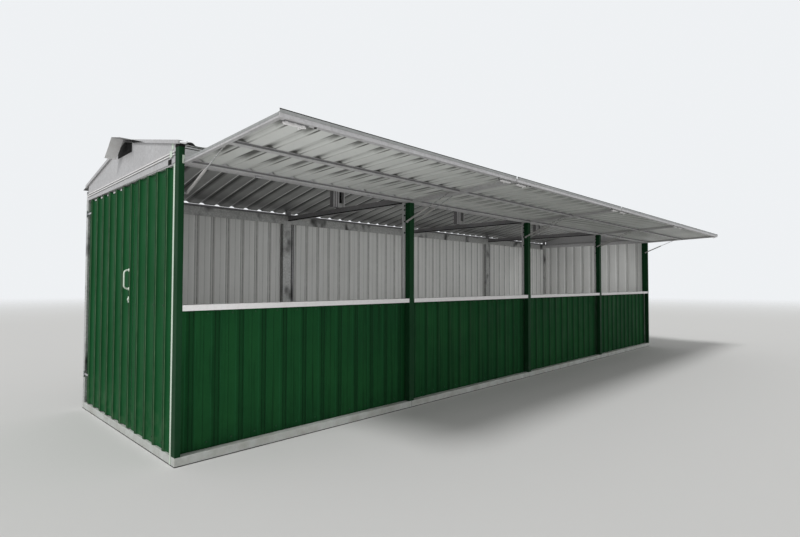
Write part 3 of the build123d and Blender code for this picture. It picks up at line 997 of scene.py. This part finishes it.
def flap_hinge(part, x):
    leaf_foot = wall_top + seat_gap
    part.bar(around(x, hinge_length / 2), leaf_depth, (leaf_foot, wall_top + leaf_width))
    outer_knuckles(part, lambda k: (x + k, hinge_y, hinge_z),
                   lambda a, b: part.bar((x + a, x + b), (hinge_y + 4, -seat_gap), (hinge_z + 1, leaf_foot)))
    for aside, rise in ((-20, 30), (20, 30), (0, 16)):
        foot, out = [(x + aside, y, wall_top + rise) for y in (leaf_depth[0], -20)]
        part.turned([(0, 2), (3, 2), (5, 0.6), (5, 0)], foot, out, 14)


def strut_pins(part, bay):
    """A pin with a round foot on both posts of a bay."""
    y, z = low_end
    reach = strut_offset + eye_thickness / 2 + 1
    for number, side in ((bay, 1), (bay + 1, -1)):
        face = post_middle(number) + side * post_half(number)
        tip = (post_middle(number) + side * reach, y, z)
        part.rod((face + side * seat_gap, y, z), tip, 4)
        part.turned([(0, 0), (11, 0), (11, 1.8), (8, 2.4), (0, 2.4)], (face, y, z), tip, 18)


def door_hinge(part, z):
    x = -door_hinge_stand_off
    y = door_hinge_y
    part.bar(leaf_depth, (y + knuckle_radius, y + leaf_width), around(z, hinge_length / 2))
    outer_knuckles(part, lambda k: (x, y, z + k),
                   lambda a, b: part.bar((x + 3, -seat_gap), (y, y + knuckle_radius + 1), (z + a, z + b)))


def frame_hinges():
    part = Build()
    for bay in range(bays):
        for x in flap_hinge_middles(bay):
            flap_hinge(part, x)
        strut_pins(part, bay)
    for z in door_hinge_heights:
        door_hinge(part, z)
    part.finish("hinges_on_frame", "frame", [bolt], ["fixed_hinges"], bevel=0.5)


# Door handle, lock and hinge straps

def handle_path():
    """Line of the bow handle: out from the door, a quarter bend, along the door and back."""
    x = -handle_stand_off
    bend = 26
    steps = 6
    quarter = [pi / 2 * k / steps for k in range(steps + 1)]
    path = [(-1, handle_low)]
    path += [(x + bend * (1 - sin(turn)), handle_low + bend * (1 - cos(turn))) for turn in quarter]
    path += [(x + bend * (1 - cos(turn)), handle_high - bend * (1 - sin(turn))) for turn in quarter]
    path.append((-1, handle_high))
    return [(x, first_door_rib, z) for x, z in path]


def door_fittings():
    part = Build()
    out = -20
    part.pipe(handle_path(), handle_radius - 0.6, 18)
    for z in (handle_low, handle_high):
        part.turned([(0, 0), (13, 0), (13, 2), (9, 4), (7.5, 7), (0, 7)],
                    (-0.4, first_door_rib, z), (out, first_door_rib, z), 20)
    # Round lock on its plate, with a keyhole
    part.turned([(0, 0), (11, 0), (11, 4), (10, 7.4), (5, 7.4), (4.4, 6), (0, 6)],
                (-0.3, first_door_rib, lock_height), (out, first_door_rib, lock_height), 24)
    for x, wide, high, mat in (((-2.4, -0.3), 9, 24, 0), ((-7.2, -6.1), 1, 3.5, 1)):
        part.bar(x, around(first_door_rib, wide), around(lock_height, high), mat)
    # Straps with the middle knuckles of the hinges
    half = hinge_length / 6 - 1
    x = -door_hinge_stand_off
    y = door_hinge_y
    for middle in door_hinge_heights:
        z = around(middle, half)
        part.ring((x, y, z[0]), (x, y, z[1]), pin_bore, knuckle_radius, mat=2)
        part.bar(leaf_depth, (y - strap_length, y), z, 2)
        part.bar((x + 3.4, -seat_gap), (y - leaf_thickness, y), z, 2)
    part.finish("handle_and_straps", "door", [handle_coat, black, bolt], ["door_handle"],
                bevel=0.4)


# Gables with their folds, ridge cap

notch_low = 2230
notch_half = 175


def gable(side):
    """Plain sheet, open under the ridge, with a flashing along its foot that has two folds."""
    part = Build()
    place = at_end(side)
    base = ring_top + seat_gap
    edge = roof_under(inner_face) - seat_gap
    notch = around(ridge_y, notch_half)
    slots = [roof_under(y) - seat_gap for y in notch]
    front_half = [(inner_face, base), (ridge_y, base), (ridge_y, notch_low), (notch[0], notch_low),
                  (notch[0], slots[0]), (inner_face, edge)]
    rear_half = [(ridge_y, base), (rear_face, base), (rear_face, edge), (notch[1], slots[1]),
                 (notch[1], notch_low), (ridge_y, notch_low)]
    for outline in (front_half, rear_half):
        part.prism(outline, (0.6, 2.4), place)
    # Flashing that falls a little towards the rear: a flat strip, and two folds with painted light and shade.
    # Each row: how far it stands out, its heights at the front and at the rear, and its material
    # Pale strips are painted highlights on the folds; darker strips are painted shadows under them and at the
    # foot
    strips = ((2.0, (1996, 2074), (1981, 2040), 0), (2.6, (1994, 1999), (1979, 1984), 2),
              (7.5, (2050, 2058), (2014, 2022), 1), (2.8, (2044, 2050), (2008, 2014), 2),
              (7.5, (2068, 2076), (2034, 2042), 1), (2.8, (2062, 2068), (2028, 2034), 2))
    for out, front, rear, mat in strips:
        outline = [(inner_face, front[0]), (rear_face, rear[0]), (rear_face, rear[1]), (inner_face, front[1])]
        part.prism(outline, (-out, -0.3), place, mat)
    part.finish(f"gable_skin_{side}", "frame", [zinc, pale, fold_shadow_zinc],
                [f"gable_{side}"], bevel=0.5)


def gable_shade_fillers(side):
    """Black pieces of painted shade behind the opening under the ridge, and a black plate of painted shade on
    the end of the ridge beam.
    """
    part = Build()
    place = at_end(side)
    foot = notch_low + 1
    filler_run = (0.2, 14)
    beam = around(ridge_y, ridge_beam_size / 2)
    beam_top = roof_under(beam[0]) - seat_gap
    below = beam_top - ridge_beam_size - 0.5
    for near, far in ((ridge_y - notch_half + 1, beam[0] - 0.3), (ridge_y + notch_half - 1, beam[1] + 0.3)):
        outline = [(near, foot), (far, foot), (far, roof_under(far) - 1), (near, roof_under(near) - 1)]
        part.prism(outline, filler_run, place)
    part.prism([(beam[0], foot), (beam[1], foot), (beam[1], below), (beam[0], below)], filler_run, place)
    part.bar((-2.5, -0.2), (beam[0] - 2, beam[1] + 2), (below - 2, beam_top + 1), 0, place)
    part.finish(f"gable_shade_fillers_{side}", "frame", [black], bevel=0.5)


def verge_trim(side):
    """Edge box over the end of the roof sheets, in front of and behind the ridge cap, with a black wedge of
    painted shade that runs out in front of the cap."""
    part = Build()
    place = at_end(side)
    crown = sheet_depth / cos(roof_pitch)
    outer = -end_overhang - 1.6
    cap_edges = (ridge_y - cap_wing - 1, ridge_y + cap_wing + 1)

    def strip(near, far, low, high, x):
        """A strip along the slope, from low to high over the roof's underside."""
        lower = [(near, roof_under(near) + low), (far, roof_under(far) + low)]
        upper = [(far, roof_under(far) + high), (near, roof_under(near) + high)]
        part.prism(lower + upper, x, place)

    for near, far in ((-front_overhang + 2, cap_edges[0]), (cap_edges[1], depth + 10)):
        strip(near, far, -4, crown + 1, (outer, 0.5))
        strip(near, far, crown + 0.6, crown + 1.8, (outer, 26))
    # Black wedge of painted shade along the gable's top edge
    near = ridge_y - 500
    far = cap_edges[0]
    dark_line = [(near, roof_under(near)), (far, roof_under(far) - 6), (far, roof_under(far) + 20)]
    part.prism(dark_line, (outer - 0.5, outer), place, 1)
    part.finish(f"verge_trim_{side}", "frame", [zinc, black], bevel=0.3)


def ridge_flashing():
    """Ridge cap whose rear wing is bent down where it sticks out past the left gable."""
    part = Build()
    place = at_end("left")
    gable_end = -12
    rise = sheet_depth / cos(roof_pitch) + seat_gap
    places = (ridge_y - cap_wing, ridge_y, ridge_y + cap_wing)
    front, top, rear = [(y, roof_under(y) + rise) for y in places]
    bent = [top, (ridge_y + 74, 2298), (ridge_y + 177, 2224)]
    part.folded([front, top, rear], -flashing, (gable_end, length + cap_overhang), place)
    part.folded([front, top], -flashing, (-cap_overhang, gable_end), place)
    # The bent wing is in pale zinc, as painted light on its shaded side
    part.folded(bent, -flashing, (-cap_overhang, gable_end - 0.5), place, 1)
    part.finish("ridge_flashing", "frame", [zinc, pale], ["ridge_cap"], bevel=0.4)


def corner_strips(side):
    """White edge strip between the front post and the end wall, with short pieces at the post's head."""
    part = Build()
    place = at_end(side)
    strip = ((-1.8, -0.3), (60, 83), (5, 1992))
    outer_tab = ((-9.5, -8.0), (92, 134), (2038, 2084))
    head_tab = ((-1.2, 0.4), (90, 122), (2092, 2140))
    front_tab = ((22, 38), (-1.8, -0.3), (1988, 2044))
    for bar in (strip, outer_tab, head_tab, front_tab):
        part.bar(*bar, 0, place)
    head_seal = ((-1.6, 39.6), (-1.6, 61), (2098, 2116.5))
    side_seal = ((-4.8, -3.4), (118, 172), (1996, 2030))
    for bar in (head_seal, side_seal):
        part.bar(*bar, 1, place)
    part.finish(f"corner_strips_{side}", "frame", [white, black], bevel=0.5)


# Rear posts, trusses and eaves

def channel(part, x, y, z):
    """Upright channel: a web at its front, between two values of x, and flanges to the back."""
    web_back = y[0] + channel_metal
    part.bar(x, (y[0], web_back), z)
    for flange in ((x[0], x[0] + channel_metal), (x[1] - channel_metal, x[1])):
        part.bar(flange, (web_back, y[1]), z)


def rear_channels():
    """Square corner posts, and wide channels with a recessed flange at the bays. The flange is in darker
    zinc as painted shade, and a black line of painted shadow runs along each channel's left edge.
    """
    part = Build()
    z = wall_span
    for x in ((0, tube), (length - tube, length)):
        part.bar(x, (depth - tube, depth), z)
    back = depth - sheet_depth - seat_gap
    front = depth - tube
    for middle in inner_middles():
        left = middle - 90
        right = middle + 28
        flange = middle + 88
        channel(part, (left, right), (front, back), z)
        # Black line of painted shadow at the channel's left edge
        part.bar((left - 5, left - 0.5), (front, front + 4), z, 2)
        # Recessed flange in darker zinc, as painted shade
        part.bar((right, flange), (front + 22, front + 22 + channel_metal), z, 1)
        part.bar((middle + 52, middle + 58), (front + 6, front + 22), z)
        part.bar((flange - channel_metal, flange), (front + 22 + channel_metal, back), z, 1)
    part.finish("rear_channels", "frame", [zinc_with_painted_reflections, shaded_zinc, black],
                ["rear_posts"], bevel=0.8)


def trusses():
    """Tie beams with a black line of painted shade along their lower edge, and king posts with an open slot.
    """
    part = Build()
    beam_half = 20
    shade_line_height = 11
    top_z = roof_under(ridge_y - ridge_beam_size / 2) - ridge_beam_size - 2 * seat_gap
    z = (ring_top + seat_gap, top_z)
    front = ridge_y - 35
    for middle in inner_middles():
        face = middle - beam_half
        part.bar((face, middle + beam_half), (inner_face, rear_face), (wall_top, ring_top))
        # Black line of painted shade under the tie beam
        part.bar((face - 1.5, face), (tube + 2, depth - tube - 2), (wall_top, wall_top + shade_line_height), 2)
        # King post: a box, a slot with a black back of painted shade and a low sill, and lighter folds at the
        # edges as painted highlights
        x0 = middle - 135
        slot_start = x0 + 78
        slot_end = x0 + 150
        part.bar((x0, slot_start), (front, front + 60), z)
        part.bar((slot_start, slot_end), (front + 40, front + 60), z, 2)
        for edge in (x0, x0 + 34, x0 + 66, x0 + 144):
            part.bar((edge, edge + 12), around(front, 6), z, 3)
        part.bar((slot_start, slot_end), (front, front + 40), (z[0], z[0] + 50), 1)
        part.bar((slot_end - 6, slot_end), (front, front + 40), z, 1)
    part.finish("trusses", "frame", [shaded_truss_zinc, zinc_with_painted_reflections, black, zinc_tube],
                ["roof_trusses"], bevel=0.8)


def eaves():
    """Front eave rail with two black lines of painted shade in its grooves, and a low rear rail with spacers
    that lets daylight in, in darker zinc as painted shade.
    """
    part = Build()
    z = (ring_top + seat_gap, eave_top)
    x = (corner_width + seat_gap, length - corner_width - seat_gap)
    spacer_half = 30
    part.bar(x, (0, tube), z)
    # Black lines of painted shade in the grooves of the front eave rail
    for dark_line in (z[0] + 42, z[0] + 58):
        part.bar(x, (-0.8, 0), (dark_line, dark_line + 5), 2)
    # Low rear rail and spacers in darker zinc, as painted shade
    part.bar((0, length), (depth - tube, depth), (z[0], low_eave_top), 1)
    for number in range(bays + 1):
        middle = min(max(post_middle(number), spacer_half + 10), length - spacer_half - 10)
        part.bar(around(middle, spacer_half), (depth - 50, depth - 10),
                 (low_eave_top, eave_top + 1), 1)
    # Band of painted reflections on the inner face of the rear top rail
    part.bar((tube, length - tube), (depth - tube - 4, depth - tube - 0.5), (wall_top - 40, ring_top - 1), 3)
    part.finish("eave_pieces", "frame", [zinc_tube, shaded_zinc, black, zinc_with_painted_reflections],
                ["eave_rails"], bevel=0.8)


def inner_posts():
    """Channels behind the painted front posts, with bolts, above the counter."""
    part = Build()
    y = inner_face
    z = (counter_top + 1, wall_top - seat_gap)
    for middle in inner_middles():
        channel(part, around(middle - 8, 52), (y, y + 16), z)
        for height in (1690, 1800, 1860, 1915, 1955):
            part.rod((middle - 46, y, height), (middle - 46, y - 7, height), 8, 12, 1)
    part.finish("inner_posts", "frame", [zinc_tube, black], bevel=0.6)


def corner_covers():
    """Painted flange behind each corner post, between the counter and the top rail."""
    part = Build()
    for side in ("left", "right"):
        part.bar((20, corner_width), (inner_face, inner_face + 44), (counter_top + 1, wall_top - seat_gap),
                 0, at_end(side))
    part.finish("corner_covers", "frame", [dark], bevel=0.8)


def contact_shade_and_joints():
    """Black band of painted contact shadow under the base rails, and the joints of the base rail and the
    counter.
    """
    part = Build()
    # Height of the black band of painted contact shadow
    seal = (0.2, 5)
    joint_half = 1.5
    for y in ((-0.8, 0), (depth, depth + 0.8)):
        part.bar((0, length), y, seal)
    for x in ((-0.8, 0), (length, length + 0.8)):
        part.bar(x, (0, depth), seal)
    for middle in inner_middles():
        part.bar(around(middle, joint_half), (-0.6, 0), (seal[1], tube - 1))
        for x in (middle - post_width / 2 - joint_half, middle + post_width / 2 + joint_half):
            dark_line = around(x, joint_half)
            part.bar(dark_line, (-0.6, 0), (counter_top - counter_height + 1, counter_top - 1))
            part.bar(dark_line, (1, tube - 1), (counter_top, counter_top + 0.6))
    part.finish("contact_shade_and_joints", "frame", [black])


# Screws and closing plates

def screw(part, foot, out):
    """Self-drilling screw with its washer, from a point on the sheet towards a point away from it."""
    washer = 8
    head = 4.6
    part.turned([(0, 0), (washer, 0), (washer, 1.4), (head, 1.6), (head, 5.2), (0, 5.2)], foot, out, 8)


def wall_screws():
    """Screws in the flats of the wall sheets, beside the middle of each flat."""
    aside = 30
    out = 20
    face = rib_height - skin_out
    rows = (100, 1040, 1940)
    on_frame = Build()
    on_door = Build()
    for k in range(-1, 11):
        y = first_wall_rib + rib_pitch * (k + 0.5) - aside
        before_door = y < door_start - fit_gap
        for z in rows:
            screw(on_frame, (length - face, y, z), (length + out, y, z))
            screw(on_frame if before_door else on_door, (face, y, z), (-out, y, z))
    for bay in range(bays):
        front_start = sheet_depth + seat_gap + bay * front_run + centred_rib(front_run - seat_gap) + aside
        rear_start = inner_face + bay * rear_run + centred_rib(rear_run - seat_gap) + aside
        for k in range(11):
            x = front_start + rib_pitch * (k + 0.5)
            y = inner_face + face
            for z in (95, 985):
                screw(on_frame, (x, y, z), (x, y - out, z))
        for k in range(11):
            x = rear_start + rib_pitch * (k + 0.5)
            for z in rows:
                screw(on_frame, (x, depth - face, z), (x, depth + out, z))
    on_frame.finish("wall_screws", "frame", [green_bolt])
    on_door.finish("door_screws", "door", [green_bolt])


def crown_screws(part, place, width, places):
    """Screws on every second crown of a sheet but its last, at some places along it."""
    first = centred_rib(width)
    for k in range(0, floor((width - first) / rib_pitch), 2):
        u = first + rib_pitch * k
        for v in places:
            screw(part, place(u, 0.2, v), place(u, -20, v))


def roof_screws():
    part = Build()
    for rear, overhang in ((False, front_overhang), (True, eave_overhang)):
        run = roof_run(overhang)
        crown_screws(part, roof_place(overhang, rear), roof_width, (60, run / 2, run - 260))
    part.finish("roof_screws", "frame", [bolt])


def flap_screws(bay):
    part = Build()
    places = [flap_length - along for along in (flap_tube / 2, flap_mid_rail, flap_length - 19)]
    crown_screws(part, flap_place(bay), flap_width, places)
    part.finish(f"flap_screws_{bay + 1}", f"flap_{bay + 1}", [green_bolt])


def door_closers():
    """Pale closing plates in the flats at the door's head, given by flat and half width."""
    part = Build()
    for flat, half in ((5, 16), (6, 24), (7, 14), (8, 26), (9, 34)):
        y = first_wall_rib + rib_pitch * (flat + 0.5)
        part.bar((13.5, 15.0), around(y, half), (wall_top - 25, wall_top - 10))
    part.finish("door_closers", "door", [pale], bevel=0.4)


# The scene

bpy.context.scene.view_settings.view_transform = "Standard"
make_camera()
make_world()
for values in suns:
    make_sun(*values)
for values in soft_lamps:
    make_soft_lamp(*values)
make_floor()

front_sheets()
end_sheets()
rear_sheets()
roof_sheets()
for bay in range(bays):
    flap_sheet(bay)
    flap_frame(bay)
    slide_bolts(bay)
for bay in range(bays):
    gas_struts(bay)
frame_hinges()
door_fittings()
for side in ("left", "right"):
    gable(side)
    gable_shade_fillers(side)
    corner_strips(side)
    verge_trim(side)
ridge_flashing()
corner_covers()
contact_shade_and_joints()
wall_screws()
roof_screws()
for bay in range(bays):
    flap_screws(bay)
door_closers()
inner_posts()
rear_channels()
trusses()
eaves()

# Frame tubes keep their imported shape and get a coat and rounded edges
coats = {"base_rail_front": base_zinc, "base_rail_rear": base_zinc, "base_rails_end": base_zinc,
         "counter_rails": pale, "front_posts": dark, "door_jamb": zinc_tube, "door_frame": zinc_tube,
         "top_rail_front": zinc_tube, "top_rail_rear": zinc_tube, "top_rails_end": zinc_tube,
         "ridge_beam": zinc_tube}
for name, coat in coats.items():
    for slot in node[name].material_slots:
        slot.material = coat
    weld_and_soften(node[name], tube_edge)
